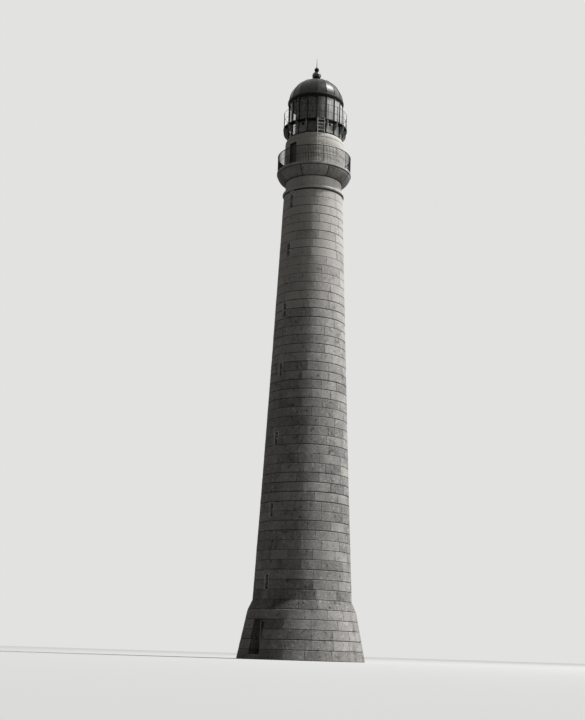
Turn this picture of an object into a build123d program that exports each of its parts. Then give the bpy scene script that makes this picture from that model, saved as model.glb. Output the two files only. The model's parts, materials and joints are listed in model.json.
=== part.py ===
"""Tall granite lighthouse with an iron lantern, as a half-size scale model."""
from build123d import *

import os
from math import atan2, cos, degrees, pi, radians, sin, sqrt, tan

os.makedirs("parts", exist_ok=True)

# Scale: each driving size is the real one in millimetres, times this
scale = 1 / 2

# Masonry: every course has one height, and six courses batter out into the plinth
course = 607 * scale
plinth_courses = 6
shaft_courses = 45
foundation_height = course / 2
plinth_top = plinth_courses * course
shaft_top = plinth_top + shaft_courses * course
well_radius = 1450 * scale

# Round forms have this many flat sides, and their curved outlines a few flats
masonry_sides = 36
metal_sides = 18

# Outside radii of the masonry
foot_radius = 4050 * scale
weathering_radius = 3440 * scale
shaft_foot_radius = 3150 * scale
shaft_head_radius = 2025 * scale
shaft_hollow = 42 * scale

# Head of the shaft: astragal, necking, ovolo cornice and gallery deck
astragal_height = 243 * scale
astragal_radius = 2116 * scale
necking_height = 720 * scale
necking_radius = 1925 * scale
ovolo_height = 530 * scale
ovolo_middle = (2300 * scale, 220 * scale)
cornice_radius = 2500 * scale
cornice_lip = 110 * scale
deck_radius = 2562 * scale
deck_thickness = 160 * scale

# Entrance, cut square through the plinth at the front
entrance_width = 1000 * scale
entrance_height = 2100 * scale
entrance_setback = 650 * scale
door_frame_width = 110 * scale
door_frame_depth = 160 * scale
door_thickness = 60 * scale

# Windows, one above the other over the entrance, given by their middle heights
window_width = 450 * scale
window_height = 1000 * scale
window_heights = [height * scale for height in (4700, 9200, 13800, 18400, 22500, 26700, 30200)]
window_setback = 100 * scale
sash_width = 60 * scale
sash_depth = 90 * scale
glass_thickness = 16 * scale

# Stages of the shaft, by the courses above the plinth at the head of each
stages = {"lower": 13, "middle": 27, "upper": 41, "top": shaft_courses}

# Watch room on the gallery
watch_radius = 2040 * scale
watch_inner_radius = 1590 * scale
watch_height = 1980 * scale
coping_height = 370 * scale
coping_top_radius = 1930 * scale
gallery_door_width = 650 * scale
gallery_door_height = 1750 * scale
floor_thickness = 160 * scale

# Lantern of eighteen sides, with a narrow catwalk round it
sides = 18
lantern_radius = 1915 * scale
lantern_height = 2790 * scale
lantern_post_width = 70 * scale
lantern_post_depth = 90 * scale
lantern_rail = 60 * scale
sill_height = 110 * scale
catwalk_rise = 880 * scale
catwalk_radius = 2228 * scale
catwalk_thickness = 50 * scale
bracket_drop = 600 * scale
bracket_thickness = 34 * scale
vent_radius = 90 * scale
vent_drop = 155 * scale
vent_sides = 12
vent_bays = 3

# Day curtain drawn round the light, on a hoop held from the gutter
curtain_radius = 1400 * scale
curtain_thickness = 60 * scale
hoop_bar = 36 * scale
hoop_arms = 6

# Lantern roof
gutter_height = 220 * scale
gutter_radius = 1966 * scale
dome_height = 1670 * scale
dome_radius = 1880 * scale
dome_thickness = 30 * scale
crown_radius = 300 * scale
collar_radius = 150 * scale
ball_radius = 312 * scale
ball_rise = 460 * scale
seat_radius = 60 * scale
bud_radius = 165 * scale
bud_height = 320 * scale
spike_radius = 28 * scale
spike_rise = 1025 * scale

# Railings and ladder
railing_radius = 2515 * scale
railing_height = 1200 * scale
railing_bays = 16
railing_first_post = 15.5
chord_angle = 10
post_width = 44 * scale
top_rail_width = 36 * scale
mid_rail_width = 18 * scale
rail_thickness = 36 * scale
baluster_width = 14 * scale
balusters_in_bay = 8
catwalk_railing_radius = 2200 * scale
catwalk_railing_height = 1100 * scale
ladder_bearing = 57
ladder_radius = 2300 * scale
ladder_width = 480 * scale
stile_depth = 70 * scale
stile_width = 32 * scale
rung_width = 30 * scale
rung_spacing = 250 * scale
joint_gap = 4 * scale

# Levels worked out from the sizes above
necking_foot = shaft_top + astragal_height
cornice_foot = necking_foot + necking_height
deck_foot = cornice_foot + ovolo_height + cornice_lip
gallery = deck_foot + deck_thickness
coping_foot = gallery + watch_height
lantern_foot = coping_foot + coping_height
catwalk = lantern_foot + catwalk_rise
gutter_foot = lantern_foot + lantern_height
dome_foot = gutter_foot + gutter_height
crown = dome_foot + dome_height


def write(piece, name):
    """Labels a finished piece and writes its file."""
    piece.part.label = name
    export_step(piece.part, f"parts/{name}.step")


def angle(bearing):
    """Turns a bearing from the front, towards +X, into an angle from the X axis."""
    return bearing - 90


def shaft_radius(height):
    """Outside radius of the shaft, a taper that is slightly hollow at mid-height."""
    part_way = (height - plinth_top) / (shaft_top - plinth_top)
    straight = shaft_foot_radius + (shaft_head_radius - shaft_foot_radius) * part_way
    return straight - shaft_hollow * 4 * part_way * (1 - part_way)


def plinth_radius(height):
    """Outside radius of the battered plinth below its weathered top course."""
    part_way = height / (plinth_top - course)
    return foot_radius + (weathering_radius - foot_radius) * part_way


def arc_points(start, middle, end, steps):
    """Points at even steps along the arc through three points."""
    arc = ThreePointArc(start, middle, end)
    return [((arc @ (step / steps)).X, (arc @ (step / steps)).Y) for step in range(steps + 1)]


def drum(foot, head, height, side_count):
    """Drum of flat sides that leans evenly from one radius at its foot to another at its head."""
    lean = degrees(atan2(abs(foot - head) * cos(pi / side_count), height))
    with BuildPart() as standing:
        with BuildSketch():
            RegularPolygon(max(foot, head), side_count)
        extrude(amount=height, taper=lean)
        if head > foot:
            mirror(about=Plane.XY.offset(height / 2), mode=Mode.REPLACE)
    return standing.part


def round_form(outline, side_count=masonry_sides):
    """Pile of drums that follows an outline of radii and heights from its foot up."""
    with BuildPart() as pile:
        for (foot, low), (head, high) in zip(outline, outline[1:]):
            with Locations((0, 0, low)):
                add(drum(foot, head, high - low, side_count))
    return pile.part


def ring(outline, hole_radius):
    """Ring that follows an outline outside and has a plain round hole."""
    foot = outline[0][1]
    head = outline[-1][1]
    with BuildPart() as course_ring:
        add(round_form(outline))
        add(round_form([(hole_radius, foot), (hole_radius, head)]), mode=Mode.SUBTRACT)
    return course_ring


# Foundation: the foot of the batter, whose top is the floor of the tower
with BuildPart() as foundation:
    add(round_form([(foot_radius, 0), (plinth_radius(foundation_height), foundation_height)]))
write(foundation, "foundation")

# Plinth ring, split beside and over the entrance
plinth = ring(
    [
        (plinth_radius(foundation_height), foundation_height),
        (weathering_radius, plinth_top - course),
        (shaft_foot_radius, plinth_top),
    ],
    well_radius,
)
entrance_top = foundation_height + entrance_height
over_entrance = plinth_top - entrance_top

with BuildPart() as plinth_back:
    add(plinth.part)
    split(bisect_by=Plane.XZ, keep=Keep.BOTTOM)
write(plinth_back, "plinth_back")

for name, side in (("plinth_left", -1), ("plinth_right", 1)):
    with BuildPart() as plinth_side:
        add(plinth.part)
        with Locations((side * (entrance_width + foot_radius) / 2, -foot_radius / 2, plinth_top / 2)):
            Box(foot_radius, foot_radius, plinth_top, mode=Mode.INTERSECT)
    write(plinth_side, name)

with BuildPart() as plinth_lintel:
    add(plinth.part)
    with Locations((0, -foot_radius / 2, entrance_top + over_entrance / 2)):
        Box(entrance_width, foot_radius, over_entrance, mode=Mode.INTERSECT)
write(plinth_lintel, "plinth_over_entrance")

# Shaft: hollow stages in left and right halves, which leave the column of windows free
stage_levels = [plinth_top] + [plinth_top + courses * course for courses in stages.values()]
shaft = ring([(shaft_radius(level), level) for level in stage_levels], well_radius)

for name, low, high in zip(stages, stage_levels[:-1], stage_levels[1:]):
    for side_name, side in (("left", -1), ("right", 1)):
        with BuildPart() as half_stage:
            add(shaft.part)
            with Locations((side * foot_radius / 2, 0, (low + high) / 2)):
                Box(foot_radius, 2 * foot_radius, high - low, mode=Mode.INTERSECT)
            with Locations((0, -foot_radius / 2, (low + high) / 2)):
                Box(window_width, foot_radius, high - low, mode=Mode.SUBTRACT)
        write(half_stage, f"shaft_{name}_{side_name}")

# Wall over and under the windows, which closes the column between the halves
with BuildPart() as window_column:
    add(shaft.part)
    with Locations((0, -foot_radius / 2, (plinth_top + shaft_top) / 2)):
        Box(window_width, foot_radius, shaft_top - plinth_top, mode=Mode.INTERSECT)
    with Locations([(0, -foot_radius / 2, height) for height in window_heights]):
        Box(window_width, foot_radius, window_height, mode=Mode.SUBTRACT)
write(window_column, "shaft_between_windows")

# Windows: a sash frame and a pane in each opening
with BuildPart() as window_frames:
    for height in window_heights:
        with Locations((0, -shaft_radius(height) + window_setback, height)):
            Box(window_width, sash_depth, window_height)
            Box(window_width - 2 * sash_width, sash_depth, window_height - 2 * sash_width, mode=Mode.SUBTRACT)
write(window_frames, "window_frames")

with BuildPart() as window_glass:
    for height in window_heights:
        with Locations((0, -shaft_radius(height) + window_setback, height)):
            Box(window_width - 2 * sash_width, glass_thickness, window_height - 2 * sash_width)
write(window_glass, "window_glass")

# Entrance frame and door, set back in the passage
entrance_face = -plinth_radius(entrance_height) + entrance_setback
with BuildPart() as entrance_frame:
    with Locations((0, entrance_face, foundation_height + entrance_height / 2)):
        Box(entrance_width, door_frame_depth, entrance_height)
    with Locations((0, entrance_face, foundation_height + (entrance_height - door_frame_width) / 2)):
        Box(
            entrance_width - 2 * door_frame_width,
            door_frame_depth,
            entrance_height - door_frame_width,
            mode=Mode.SUBTRACT,
        )
write(entrance_frame, "entrance_frame")

with BuildPart() as entrance_door:
    with Locations((0, entrance_face, foundation_height + (entrance_height - door_frame_width) / 2)):
        Box(entrance_width - 2 * door_frame_width, door_thickness, entrance_height - door_frame_width)
write(entrance_door, "entrance_door")

# Astragal: a half-round ring course at the head of the shaft
bead = astragal_height / 2
astragal = ring(
    arc_points(
        (astragal_radius - bead, shaft_top),
        (astragal_radius, shaft_top + bead),
        (astragal_radius - bead, necking_foot),
        4,
    ),
    well_radius,
)
write(astragal, "astragal_course")

# Necking course
necking = ring([(necking_radius, necking_foot), (necking_radius, cornice_foot)], well_radius)
write(necking, "necking_course")

# Cornice course: an ovolo that carries the gallery
ovolo_top = cornice_foot + ovolo_height
ovolo = arc_points(
    (necking_radius, cornice_foot),
    (ovolo_middle[0], cornice_foot + ovolo_middle[1]),
    (cornice_radius, ovolo_top),
    4,
)
cornice = ring(ovolo + [(cornice_radius, deck_foot)], well_radius)
write(cornice, "cornice_course")

# Gallery deck, and the floor of the watch room inside it
gallery_deck = ring([(deck_radius, deck_foot), (deck_radius, gallery)], watch_inner_radius)
write(gallery_deck, "gallery_deck")

with BuildPart() as watch_floor:
    add(round_form([(watch_inner_radius, deck_foot), (watch_inner_radius, gallery)]))
write(watch_floor, "watch_room_floor")

# Watch room wall, split beside and over its door
watch_wall = ring([(watch_radius, gallery), (watch_radius, coping_foot)], watch_inner_radius)

with BuildPart() as watch_back:
    add(watch_wall.part)
    split(bisect_by=Plane.XZ, keep=Keep.BOTTOM)
write(watch_back, "watch_room_wall_back")

beside_door = (gallery_door_width + watch_radius) / 2
for name, side in (("watch_room_wall_left", -1), ("watch_room_wall_right", 1)):
    with BuildPart() as watch_side:
        add(watch_wall.part)
        with Locations((side * beside_door, -watch_radius / 2, gallery + watch_height / 2)):
            Box(watch_radius, watch_radius, watch_height, mode=Mode.INTERSECT)
    write(watch_side, name)

over_gallery_door = watch_height - gallery_door_height
with BuildPart() as watch_lintel:
    add(watch_wall.part)
    with Locations((0, -watch_radius / 2, coping_foot - over_gallery_door / 2)):
        Box(gallery_door_width, watch_radius, over_gallery_door, mode=Mode.INTERSECT)
write(watch_lintel, "watch_room_door_lintel")

# Door from the watch room to the gallery
with BuildPart() as gallery_door:
    with Locations((0, -(watch_radius + watch_inner_radius) / 2, gallery + gallery_door_height / 2)):
        Box(gallery_door_width, door_thickness, gallery_door_height)
write(gallery_door, "gallery_door")

# Coping with a rounded shoulder, under the lantern
shoulder = (watch_radius - 0.25 * (watch_radius - coping_top_radius), coping_foot + 0.6 * coping_height)
coping = ring(
    arc_points((watch_radius, coping_foot), shoulder, (coping_top_radius, lantern_foot), 3),
    watch_inner_radius,
)
write(coping, "watch_room_coping")

lantern_floor_foot = lantern_foot - floor_thickness
with BuildPart() as lantern_floor:
    add(round_form([(watch_inner_radius, lantern_floor_foot), (watch_inner_radius, lantern_foot)]))
write(lantern_floor, "lantern_floor")

# Lantern frame: one bay a side, each with a post, a sill and its rails
bay_angle = 360 / sides
half_bay = radians(bay_angle / 2)
apothem = lantern_radius * cos(half_bay)
post_centre = lantern_radius - lantern_post_depth / 2
post_reach = (lantern_post_width * cos(half_bay) + lantern_post_depth * sin(half_bay)) / 2 + joint_gap
rail_line = apothem - lantern_post_depth / 2
half_bay_width = rail_line * tan(half_bay)
rail_levels = {
    lantern_foot + sill_height / 2: sill_height,
    catwalk + lantern_rail / 2: lantern_rail,
    gutter_foot - lantern_rail / 2: lantern_rail,
}
first_post = angle(bay_angle / 2)

with BuildPart() as bay:
    with Locations(Rotation(0, 0, -bay_angle / 2)):
        with Locations((post_centre, 0, lantern_foot + lantern_height / 2)):
            Box(lantern_post_depth, lantern_post_width, lantern_height)
    for level, height in rail_levels.items():
        with Locations((rail_line, -post_reach / 2, level)):
            Box(lantern_post_depth * 0.7, 2 * half_bay_width - post_reach, height)

with BuildPart() as lantern_frame:
    with PolarLocations(0, sides, start_angle=angle(0)):
        add(bay.part)
write(lantern_frame, "lantern_frame")

# Lantern glass: a tall pane over a low pane in each bay, or over a panel with a vent
pane_width = 2 * (half_bay_width - post_reach)
low_pane = (lantern_foot + sill_height, catwalk)
tall_pane = (catwalk + lantern_rail, gutter_foot - lantern_rail)


def pane(levels, bays, hole_radius=0):
    """One pane or panel for each of the bays, between two levels."""
    with BuildPart() as one_pane:
        with BuildSketch(Plane.YZ.offset(rail_line)):
            with Locations((0, (levels[0] + levels[1]) / 2)):
                Rectangle(pane_width, levels[1] - levels[0])
            if hole_radius:
                with Locations((0, levels[1] - vent_drop)):
                    RegularPolygon(hole_radius, vent_sides, mode=Mode.SUBTRACT)
        extrude(amount=glass_thickness / 2, both=True)
    with BuildPart() as panes:
        with PolarLocations(0, sides, start_angle=angle(0)) as places:
            spots = [places.locations[bay_number] for bay_number in bays]
        with Locations(spots):
            add(one_pane.part)
    return panes


all_bays = range(sides)
vented_bays = [number for number in all_bays if number % vent_bays == 1]
plain_bays = [number for number in all_bays if number % vent_bays != 1]
write(pane(tall_pane, all_bays), "lantern_glass")
write(pane(low_pane, plain_bays), "lantern_low_glass")
write(pane(low_pane, vented_bays, vent_radius), "lantern_vent_panels")

# Catwalk: curved brackets, a thin deck and an open railing
with BuildPart() as catwalk_deck:
    with BuildSketch(Plane.XY.offset(catwalk)):
        with Locations(Rotation(0, 0, first_post)):
            RegularPolygon(catwalk_radius, 3 * sides)
            RegularPolygon(lantern_radius + 4 * joint_gap, sides, mode=Mode.SUBTRACT)
    extrude(amount=catwalk_thickness)
write(catwalk_deck, "catwalk_deck")

bracket_reach = catwalk_radius - lantern_radius - 2 * joint_gap
bracket_edge = arc_points(
    (lantern_radius, catwalk - bracket_drop),
    (lantern_radius + 0.86 * bracket_reach, catwalk - 0.5 * bracket_drop),
    (lantern_radius + bracket_reach, catwalk),
    5,
)
with BuildPart() as bracket:
    with BuildSketch(Plane.XZ):
        with BuildLine():
            Polyline(*bracket_edge, (lantern_radius, catwalk), close=True)
        make_face()
    extrude(amount=bracket_thickness / 2, both=True)

with BuildPart() as catwalk_brackets:
    with PolarLocations(0, sides, start_angle=first_post):
        add(bracket.part)
write(catwalk_brackets, "catwalk_brackets")


def railing(radius, base, height, bays, first, balusters=0):
    """Ring of railing, one solid a bay: a post, two rails in straight chords, and its balusters."""
    span = radians(360 / bays)
    chords = round(degrees(span) / chord_angle)
    half_chord = span / chords / 2
    rail_end = span - (post_width / 2 + 2 * joint_gap) / radius
    turns = [rail_end * number / chords for number in range(chords + 1)]
    inside = radius - top_rail_width / 2
    baluster_line = (inside + top_rail_width) * cos(half_chord) - 0.6 * baluster_width
    with BuildPart() as one_bay:
        with Locations((radius, 0, base + height / 2)):
            Box(post_width, post_width, height)
        for rise, width in ((height, top_rail_width), (height / 2, mid_rail_width)):
            outer = [((inside + width) * cos(turn), (inside + width) * sin(turn)) for turn in turns]
            inner = [(inside * cos(turn), inside * sin(turn)) for turn in reversed(turns)]
            with BuildSketch(Plane.XY.offset(base + rise - rail_thickness)):
                with BuildLine():
                    Polyline(*outer, *inner, close=True)
                make_face()
            extrude(amount=rail_thickness)
        if balusters:
            with BuildSketch(Plane.XY.offset(base)):
                for number in range(balusters):
                    turn = span * (number + 1) / (balusters + 1)
                    off_middle = turn % (2 * half_chord) - half_chord
                    with PolarLocations(baluster_line / cos(off_middle), 1, start_angle=degrees(turn)):
                        Rectangle(baluster_width, baluster_width)
            extrude(amount=height - rail_thickness)
    with BuildPart() as bays_in_ring:
        with PolarLocations(0, bays, start_angle=first):
            add(one_bay.part)
    return bays_in_ring


gallery_railing = railing(
    railing_radius, gallery, railing_height, railing_bays, angle(railing_first_post), balusters_in_bay
)
write(gallery_railing, "gallery_railing")

catwalk_top = catwalk + catwalk_thickness
catwalk_railing = railing(catwalk_railing_radius, catwalk_top, catwalk_railing_height, sides, first_post)
write(catwalk_railing, "catwalk_railing")

# Ladder from the gallery to the catwalk
ladder_height = catwalk_top - gallery
rung_count = int(ladder_height / rung_spacing)
rung_rises = [(number - (rung_count - 1) / 2) * rung_spacing for number in range(rung_count)]
with BuildPart() as ladder:
    with PolarLocations(ladder_radius, 1, start_angle=angle(ladder_bearing)):
        with Locations((0, 0, gallery + ladder_height / 2)):
            with GridLocations(0, ladder_width, 1, 2):
                Box(stile_depth, stile_width, ladder_height)
        with Locations((0, 0, gallery + ladder_height / 2)):
            with Locations([(0, 0, rise) for rise in rung_rises]):
                Box(rung_width, ladder_width, rung_width)
write(ladder, "ladder")

# Gutter ring at the head of the lantern
gutter_inner = apothem - lantern_post_depth
gutter_edge = [
    (lantern_radius, gutter_foot),
    (gutter_radius, gutter_foot + gutter_height / 2),
    (gutter_radius, dome_foot),
]
gutter = ring(gutter_edge, gutter_inner)
write(gutter, "lantern_gutter")

# Day curtain, closed round the light, and the hoop and arms that it hangs from
curtain_top = gutter_foot + gutter_height / 4
curtain_edge = [(curtain_radius, lantern_foot), (curtain_radius, curtain_top)]
curtain = ring(curtain_edge, curtain_radius - curtain_thickness)
write(curtain, "day_curtain")

with BuildPart() as curtain_hoop:
    hoop_top = curtain_top + hoop_bar
    add(ring([(curtain_radius, curtain_top), (curtain_radius, hoop_top)], curtain_radius - hoop_bar).part)
    arm_end = gutter_inner * cos(pi / masonry_sides)
    arm_start = curtain_radius - hoop_bar / 2
    with PolarLocations((arm_start + arm_end) / 2, hoop_arms, start_angle=180 / masonry_sides):
        with Locations((0, 0, (curtain_top + hoop_top) / 2)):
            Box(arm_end - arm_start, hoop_bar, hoop_bar)
write(curtain_hoop, "curtain_hoop")


def dome_outline(shrink):
    """Radii and heights up the dome's arc, in flats from its foot to its crown."""
    rise = dome_height - shrink
    foot = dome_radius - shrink
    haunch = (foot * sqrt(0.5), dome_foot + rise * sqrt(0.5))
    return arc_points((foot, dome_foot), haunch, (crown_radius, crown - shrink), 7)


# Dome: eighteen gores, each bent one way only, which meet along their ribs
dome_outside = dome_outline(0)
dome_inside = dome_outline(dome_thickness)
with BuildPart() as gore:
    with BuildSketch(Plane.XZ):
        with BuildLine():
            Polyline(*dome_outside, *reversed(dome_inside), close=True)
        make_face()
    extrude(amount=dome_radius, both=True)
    with BuildSketch(Plane.XY.offset(dome_foot)):
        with BuildLine():
            half_width = gutter_radius * tan(half_bay)
            Polyline((0, 0), (gutter_radius, -half_width), (gutter_radius, half_width), close=True)
        make_face()
    extrude(amount=dome_height, mode=Mode.INTERSECT)

with BuildPart() as dome:
    with PolarLocations(0, sides, start_angle=angle(0)):
        add(gore.part)
write(dome, "dome")

# Ventilator ball on its collar, and the lightning spike on top
ball_centre = crown + ball_rise
ball_top = ball_centre + sqrt(ball_radius**2 - seat_radius**2)
ball_foot = ball_centre - sqrt(ball_radius**2 - collar_radius**2)
collar = [
    (crown_radius, crown - dome_thickness),
    (crown_radius, crown + collar_radius / 2),
    (collar_radius, crown + collar_radius),
]
ball = arc_points((collar_radius, ball_foot), (ball_radius, ball_centre), (seat_radius, ball_top), 7)
with BuildPart() as ventilator:
    add(round_form(collar + ball, metal_sides))
write(ventilator, "ventilator_ball")

bud = arc_points(
    (seat_radius, ball_top),
    (bud_radius, ball_top + bud_height / 2),
    (spike_radius, ball_top + bud_height),
    5,
)
tip = (spike_radius / 4, ball_centre + ball_radius + spike_rise)
with BuildPart() as spike:
    add(round_form(bud + [tip], metal_sides))
write(spike, "lightning_spike")
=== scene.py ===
"""Looks of a tall granite lighthouse at half size: its stones, ironwork, lantern and studio stage."""

import json
import random
from functools import partial
from math import asin, atan2, cos, hypot, pi, radians, sin, sqrt, tan

import bmesh
import bpy
from mathutils import Matrix, Vector, noise


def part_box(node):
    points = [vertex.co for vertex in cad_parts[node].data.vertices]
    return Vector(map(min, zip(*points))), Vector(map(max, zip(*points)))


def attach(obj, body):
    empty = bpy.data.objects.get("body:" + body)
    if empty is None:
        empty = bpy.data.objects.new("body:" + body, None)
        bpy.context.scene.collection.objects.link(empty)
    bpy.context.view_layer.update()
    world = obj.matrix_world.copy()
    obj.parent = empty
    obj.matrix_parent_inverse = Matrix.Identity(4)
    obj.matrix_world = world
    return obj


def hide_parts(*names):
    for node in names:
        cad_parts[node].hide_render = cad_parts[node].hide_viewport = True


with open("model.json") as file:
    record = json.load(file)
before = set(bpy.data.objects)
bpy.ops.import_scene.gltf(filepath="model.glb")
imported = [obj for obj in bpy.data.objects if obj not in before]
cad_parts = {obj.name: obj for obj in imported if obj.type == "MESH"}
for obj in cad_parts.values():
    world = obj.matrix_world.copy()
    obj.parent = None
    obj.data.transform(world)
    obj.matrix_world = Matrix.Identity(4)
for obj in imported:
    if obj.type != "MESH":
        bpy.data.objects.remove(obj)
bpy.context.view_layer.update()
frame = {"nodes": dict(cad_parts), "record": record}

bl_info = {
    "name": "Granite lighthouse",
    "version": (1, 0, 0),
    "blender": (4, 5, 0),
    "location": "View3D > Sidebar > Lighthouse",
    "description": "Dresses the packed tower with stones, ironwork and a lantern",
    "category": "Object",
}

# The model is at half size, so a real size in millimetres becomes metres of the model here
MODEL_SCALE = 0.5


def real(millimetres):
    """Metres in the model for a real size in millimetres."""
    return millimetres * MODEL_SCALE / 1000


def corners_of(node):
    """Places of a CAD node's corners."""
    return [corner.co.copy() for corner in frame["nodes"][node].data.vertices]


def low(node):
    """Height of a CAD node's foot."""
    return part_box(node)[0].z


def high(node):
    """Height of a CAD node's head."""
    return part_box(node)[1].z


def widest(node):
    """How far a CAD node reaches from the tower's axis towards +X."""
    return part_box(node)[1].x


def middle_and_size(node):
    """Middle of a CAD node's box and the size of that box."""
    low_corner, high_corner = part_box(node)
    return (low_corner + high_corner) / 2, high_corner - low_corner


def reach(node, height):
    """Largest radius of a CAD node at one of its levels."""
    return max(hypot(corner.x, corner.y) for corner in corners_of(node) if abs(corner.z - height) < real(4))


# Levels and radii that the pieces share, read from the frame
COURSES, PLINTH_COURSES = 51, 6
PLINTH_TOP = high("plinth_back")
COURSE = PLINTH_TOP / PLINTH_COURSES
SHAFT_TOP = high("shaft_top_right")
NECKING_FOOT = low("necking_course")
CORNICE_FOOT = low("cornice_course")
DECK_FOOT = low("gallery_deck")
GALLERY = high("gallery_deck")
COPING_FOOT = low("watch_room_coping")
LANTERN_FOOT = low("lantern_frame")
CATWALK = low("catwalk_deck")
CATWALK_TOP = high("catwalk_deck")
GUTTER_FOOT = low("lantern_gutter")
DOME_FOOT = high("lantern_gutter")
CROWN = high("dome")
SIDES = 18
BAY = 2 * pi / SIDES
LANTERN_RADIUS = widest("lantern_frame")
APOTHEM = LANTERN_RADIUS * cos(BAY / 2)
DOME_RADIUS = reach("dome", DOME_FOOT)
CROWN_RADIUS = reach("ventilator_ball", low("ventilator_ball"))


# PropertyGroups

def length(name, description, millimetres):
    """Property that holds a length of the model, from its real size."""
    return bpy.props.FloatProperty(
        name=name, description=description, default=real(millimetres), unit="LENGTH")


def share(name, description, default):
    """Property that holds a part of the whole."""
    return bpy.props.FloatProperty(
        name=name, description=description, default=default, min=0.0, max=1.0, subtype="FACTOR")


def angle(name, description, degrees):
    """Property that holds an angle, from its degrees."""
    return bpy.props.FloatProperty(
        name=name, description=description, default=radians(degrees), subtype="ANGLE")


def light(name, description, default, unit="NONE"):
    """Property that holds a lamp's strength or power."""
    return bpy.props.FloatProperty(name=name, description=description, default=default, min=0.0, unit=unit)


def colour(name, default):
    """Property that holds a colour."""
    return bpy.props.StringProperty(name=name, description="sRGB hex", default=default)


class StoneSettings(bpy.types.PropertyGroup):
    """Sizes and colours of the granite."""
    block_length: length("Block length", "Length of a common block along its course", 1500)
    joint: length("Joint", "Width of the joint between two blocks", 24)
    proud: length("Split face", "How far a split face stands out of its joints", 12)
    margin: length("Margin", "Width of the slope from a joint to a split face", 20)
    roughness: length("Split roughness", "How far a split face waves in and out", 8)
    tone_spread: share("Tone spread", "How much blocks differ in tone", 0.15)
    paling_upwards: share("Upward paling", "How much paler the highest courses are", 0.4)
    dark: colour("Dark granite", "767472")
    pale: colour("Pale granite", "c4c1bc")


class IronSettings(bpy.types.PropertyGroup):
    """Sizes and colours of the ironwork and the roof."""
    post_radius: length("Post radius", "Radius of a railing post", 22)
    rail_radius: length("Rail radius", "Radius of a rail", 24)
    baluster_radius: length("Baluster radius", "Radius of a baluster", 14)
    iron: colour("Iron paint", "1b1b1b")
    roof: colour("Roof paint", "1d1d1c")
    white: colour("White paint", "e9e8e3")


class StageSettings(bpy.types.PropertyGroup):
    """Camera and lamps. Bearings turn from the front towards +X."""
    camera_distance: length("Camera distance", "Level distance from the tower's axis", 78300)
    camera_height: length("Camera height", "Height above the tower's foot", 400)
    camera_bearing: angle("Camera bearing", "Bearing of the camera", 47)
    sun_bearing: angle("Sun bearing", "Bearing of the key light", 137)
    sun_height: angle("Sun height", "Height of the key light over the horizon", 59)
    sun_strength: light("Sun strength", "Strength of the key light", 3.55)
    fill_strength: light("Fill strength", "Strength of the even light from all round", 0.066)
    softbox_power: light("Soft box power", "Power of the low, wide lamp beside the key light", 7400, "POWER")
    rim_power: light("Rim lamp power", "Power of the wide lamp behind the roof", 8000, "POWER")


def chosen(group):
    """The settings of the stones, the iron or the stage."""
    return getattr(bpy.context.scene, f"lighthouse_{group}")


# Materials

def linear(hex_colour):
    """Linear RGBA of an sRGB hex colour."""
    parts = [int(hex_colour[index:index + 2], 16) / 255 for index in (0, 2, 4)]
    return [part / 12.92 if part <= 0.04045 else ((part + 0.055) / 1.055) ** 2.4 for part in parts] + [1.0]


def grain(millimetres):
    """Scale of a noise pattern whose features have this real size."""
    return 1 / real(millimetres)


def add_node(tree, kind, inputs=None, stops=(), **settings):
    """Adds a shader node with its settings, links or values for its inputs, and a ramp's stops."""
    node = tree.nodes.new("ShaderNode" + kind)
    for name, value in settings.items():
        setattr(node, name, value)
    for socket, value in (inputs or {}).items():
        if isinstance(value, bpy.types.Node):
            value = value.outputs[0]
        if isinstance(value, bpy.types.NodeSocket):
            tree.links.new(value, node.inputs[socket])
        else:
            node.inputs[socket].default_value = value
    while stops and len(node.color_ramp.elements) < len(stops):
        node.color_ramp.elements.new(0.5)
    for index, (position, hex_colour) in enumerate(stops):
        node.color_ramp.elements[index].position = position
        node.color_ramp.elements[index].color = linear(hex_colour)
    return node


def new_material(name):
    """Empty material, the function that adds nodes to it and the place that its patterns read."""
    material = bpy.data.materials.new(name)
    material.use_nodes = True
    material.node_tree.nodes.clear()
    add = partial(add_node, material.node_tree)
    return material, add, add("TexCoord").outputs["Object"]


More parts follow.
